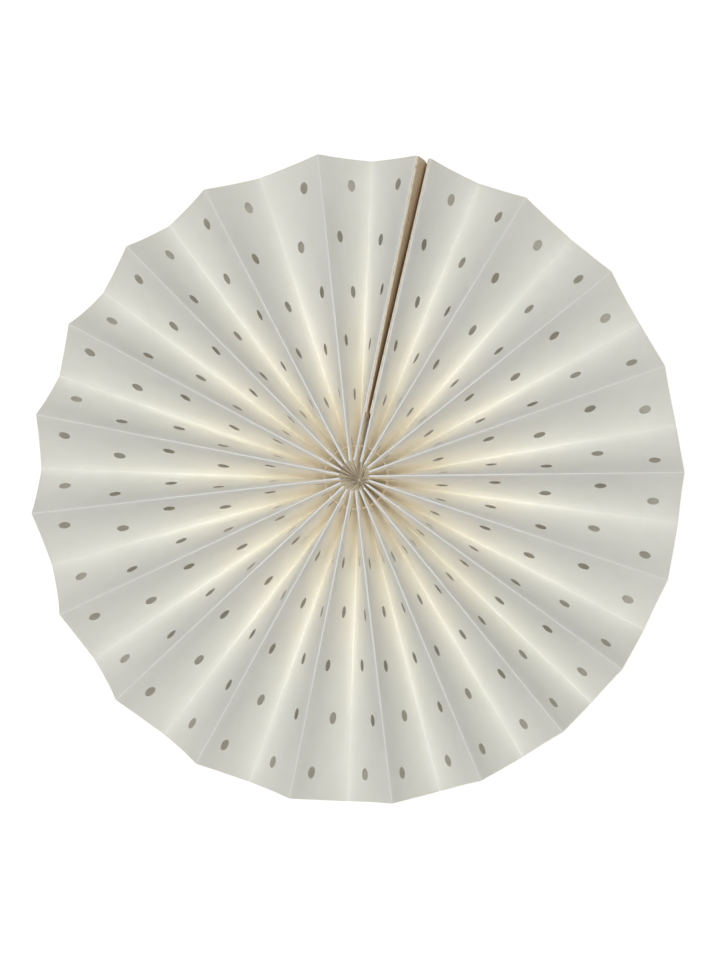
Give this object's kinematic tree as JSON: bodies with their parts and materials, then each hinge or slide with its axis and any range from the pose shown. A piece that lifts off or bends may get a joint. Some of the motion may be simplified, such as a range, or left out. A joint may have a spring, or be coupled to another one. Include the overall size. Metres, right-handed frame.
{
  "type": "paper fan rosette",
  "caption": "Round decoration of punched white paper, folded like an accordion and gathered by a thread.",
  "frame": {"origin": "on the rosette's axis, in the plane of its back folds, on which it lies", "axes": "+Z out of the front face along the rosette's axis, +Y towards the top of the rosette as it hangs, with the seam just clockwise of it"},
  "size_m": [0.2991, 0.2981, 0.037],
  "materials": {
    "paper": "matte",
    "card": "matte",
    "thread": "matte"
  },
  "bodies": {
    "root": {"pleated_paper": "paper", "first_end_card": "card", "last_end_card": "card", "gathering_thread": "thread"}
  },
  "joints": []
}
